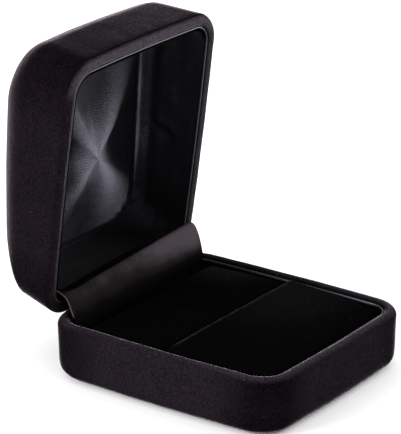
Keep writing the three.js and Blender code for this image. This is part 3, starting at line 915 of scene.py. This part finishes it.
def satin_lining():
    """A cup of satin: leaning walls, and a back puffed up to a blunt point with hips to its corners."""
    walls, back = lining_rings()
    vertices, faces = loft(walls + back)
    n = len(walls[0])
    mouth = len(walls + back) * n
    faces = [tuple(v - 1 if v > mouth else v for v in f) for f in faces if mouth not in f]
    vertices = crumple(np.delete(vertices, mouth, axis=0))
    placed = opened(lid_point(vertices))
    obj = piece("lid_satin", placed, faces, BLACK_SATIN, "lid", ["lid_lining"], solid=False)
    hip = hip_share(walls[-1])
    # Painted light and shade of the satin, kept as a vertex attribute.
    painted_shine = [wall_shine(*vertex) for vertex in vertices[:len(walls) * n]]
    for k in range(1, BACK_STEPS + 1):
        painted_shine.extend(panel_shine(1 - k / BACK_STEPS, hip, walls[-1]))
    set_attribute(obj, "painted_shine", [*painted_shine, 1])
    map_threads(obj, vertices, walls)
    return obj


def wadding():
    """The puff of wadding behind the satin, down to the card."""
    walls, _ = lining_rings()
    foot = walls[-1] + np.array([0, 0, 0.9])
    foot[:, :2] *= 0.9
    rows = [(4.8, LID_HEIGHT - 6.4), (7.4, LID_HEIGHT - 4.1)]
    sides = [ring(LINING_INSET + i, s, CORNER_R) for i, s in rows]
    vertices, faces = loft(puffed_back(foot, WADDING_STEPS, behind=0.6)[::-1] + [foot] + sides)
    vertices = roughen(vertices, 0.2, 3.0, 6.0)
    placed = opened(lid_point(vertices))
    return piece("lid_wadding", placed, faces, WADDING, "lid", ["lid_padding"])


# ---- hinge flap ------------------------------------------------------------------------------
# The bent path of the flap as (y, z), from behind the rear pad to its end inside the lid.
FLAP_PATH = [(20.4, 6.5), (20.6, 9.0), (21.5, 11.6), (22.7, 14.9), (23.75, 17.3), (24.8, 18.3),
             (26.2, 17.8), (27.8, 17.0), (29.6, 16.5)]
FLAP_ALONG = 60
FLAP_ACROSS = 72
FLAP_HALF = 21.7
FLAP_THICKNESS = 0.3
# Painted light on the flap, as (places, amounts) up the flap and from left to right: a painted reflection
# brightest at the upper right, with painted shade low down.
FLAP_LIGHT_UP = ([11.2, 12.8, 15, 17, 18.2], [0.08, 0.34, 0.78, 1.0, 1.0])
FLAP_LIGHT_ACROSS = ([-22, -12, 0, 10, 18], [0.5, 0.53, 0.6, 0.86, 1.08])


def hinge_flap():
    """Suede strip, tucked behind the rear pad, standing up over the hinge and folded back into the lid."""
    curve = smooth_path(FLAP_PATH, FLAP_ALONG)
    rows = []
    for i, (y, z) in enumerate(curve):
        t = i / FLAP_ALONG
        narrower = smoothstep((12.6 - z) / 1.4) if t < 0.5 else smoothstep((y - 26.5) / 3.0) * 1.9
        lift = smoothstep((z - 10) / 6) if t < 0.6 else 1.0
        for j in range(FLAP_ACROSS + 1):
            u = math.sin(math.pi * (j / FLAP_ACROSS - 0.5))
            x = u * (FLAP_HALF - 0.95 * narrower)
            rise = 1.1 * u * lift
            curl = 1.5 * smoothstep((-u - 0.8) / 0.2) * smoothstep((y - 24.5) / 2.5)
            rows.append((x, y - 0.2 * rise, z + rise + curl))
    vertices = roughen(np.array(rows), 0.16, 7.0, 1.0)
    width = FLAP_ACROSS + 1
    faces = [(r * width + c, r * width + c + 1, (r + 1) * width + c + 1, (r + 1) * width + c)
             for r in range(FLAP_ALONG) for c in range(FLAP_ACROSS)]
    obj = piece("hinge_flap_suede", vertices, faces, SUEDE, None, ["hinge_flap"], solid=False)
    x, y, z = vertices.T
    # Painted shade where the flap folds back into the lid.
    upward = np.interp(z - 0.05 * x, *FLAP_LIGHT_UP) * (1 - 0.6 * smoothstep((y - 24.9) / 1.2))
    rightward = np.interp(x, *FLAP_LIGHT_ACROSS)
    # A painted highlight along the cut left edge.
    cut_edge = 1.3 * smoothstep((-x - FLAP_HALF + 0.12) / 0.08) * smoothstep((z - 12.5) / 1.5)
    set_attribute(obj, "painted_flap_light", np.maximum(upward * rightward, cut_edge))
    thicken(obj, FLAP_THICKNESS)
    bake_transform(obj)
    return obj


SPRING_PATH = [(25.05, 6.4), (25.0, 10.0), (24.9, 12.4), (25.9, 14.15), (27.7, 14.67), (30.2, 15.03)]
SPRING_STEPS = 48
SPRING_HALF = 6.0
SPRING_THICKNESS = 0.35


def snap_spring():
    """The bowed snap spring, in one fixed shape."""
    curve = smooth_path(SPRING_PATH, SPRING_STEPS)
    vertices = [(side * SPRING_HALF, y, z) for y, z in curve for side in (-1, 1)]
    faces = [(2 * i, 2 * i + 1, 2 * i + 3, 2 * i + 2) for i in range(SPRING_STEPS)]
    obj = piece("snap_spring", vertices, faces, SPRING_STEEL, None, ["hinge_spring"],
                solid=False)
    thicken(obj, SPRING_THICKNESS)
    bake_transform(obj)


def thicken(obj, thickness):
    """Gives a sheet its thickness in millimetres, half on each side."""
    solid = obj.modifiers.new("thickness", "SOLIDIFY")
    solid.thickness = thickness * MM
    solid.offset = 0
    apply_modifiers(obj)


def smooth_path(points, steps):
    """Catmull-Rom points through a short list, evenly numbered."""
    p = np.array([points[0], *points, points[-1]], float)
    out = []
    for t in np.linspace(0, len(points) - 1, steps + 1):
        i = min(int(t), len(points) - 2)
        f = t - i
        a, b, c, d = p[i:i + 4]
        out.append(0.5 * (2 * b + (c - a) * f + (2 * a - 5 * b + 4 * c - d) * f * f
                          + (3 * b - a - 3 * c + d) * f ** 3))
    return out


# ---- camera, light and floor -------------------------------------------------------------------
AZIMUTH = math.radians(-54.5)
ELEVATION = math.radians(21.0)
DISTANCE = 0.580
AIM = (0.00024, 0.00697, 0.03144)
FOCAL_LENGTH = 238.8      # in millimetres, with a sensor 36 mm wide
WORLD_STRENGTH = 1.1
FLOOR_HALF = 4.0
FLOOR_LEVEL = -0.0001


def camera():
    level = math.cos(ELEVATION)
    back = Vector((math.sin(AZIMUTH) * level, -math.cos(AZIMUTH) * level, math.sin(ELEVATION)))
    data = bpy.data.cameras.new("camera")
    data.lens = FOCAL_LENGTH
    data.sensor_width = 36
    data.clip_start = 0.01
    obj = bpy.data.objects.new("camera", data)
    bpy.context.scene.collection.objects.link(obj)
    obj.location = Vector(AIM) + back * DISTANCE
    obj.rotation_euler = back.to_track_quat("Z", "Y").to_euler()
    bpy.context.scene.camera = obj


def area_light(name, place, aim, size, power, colour=(1, 1, 1)):
    data = bpy.data.lights.new(name, "AREA")
    data.shape = "RECTANGLE"
    data.size, data.size_y = size
    data.energy = power
    data.color = colour
    obj = bpy.data.objects.new(name, data)
    bpy.context.scene.collection.objects.link(obj)
    obj.location = place
    obj.rotation_euler = (Vector(place) - Vector(aim)).to_track_quat("Z", "Y").to_euler()


def pale_floor():
    material, _, shader = new_material("pale_floor")
    shader.inputs["Base Color"].default_value = (0.94, 0.94, 0.94, 1)
    shader.inputs["Roughness"].default_value = 0.9
    corners = [(x * FLOOR_HALF, y * FLOOR_HALF, FLOOR_LEVEL)
               for x, y in ((-1, -1), (1, -1), (1, 1), (-1, 1))]
    mesh = bpy.data.meshes.new("floor")
    mesh.from_pydata(corners, [], [(0, 1, 2, 3)])
    mesh.materials.append(material)
    floor = bpy.data.objects.new("floor", mesh)
    bpy.context.scene.collection.objects.link(floor)


def studio():
    middle = (0, 0.005, 0.03)
    area_light("right", (0.65, -0.3, 0.22), middle, (0.35, 0.35), 5.0, (0.97, 0.98, 1))
    area_light("left", (-0.6, 0.4, 0.3), middle, (0.4, 0.4), 6.5)
    world = bpy.data.worlds.new("studio")
    world.use_nodes = True
    background = world.node_tree.nodes["Background"]
    background.inputs["Color"].default_value = (1, 1, 1, 1)
    background.inputs["Strength"].default_value = WORLD_STRENGTH
    bpy.context.scene.world = world
    bpy.context.scene.view_settings.view_transform = "Standard"
    pale_floor()


# ---- the scene ----------------------------------------------------------------------------------
dress_cad_nodes()
base_velvet = base_covering()
lid_velvet = lid_covering()
rim_bands()
liner()
ring_pads()
puff = wadding()
lining = satin_lining()
flap = hinge_flap()
snap_spring()
camera()
studio()
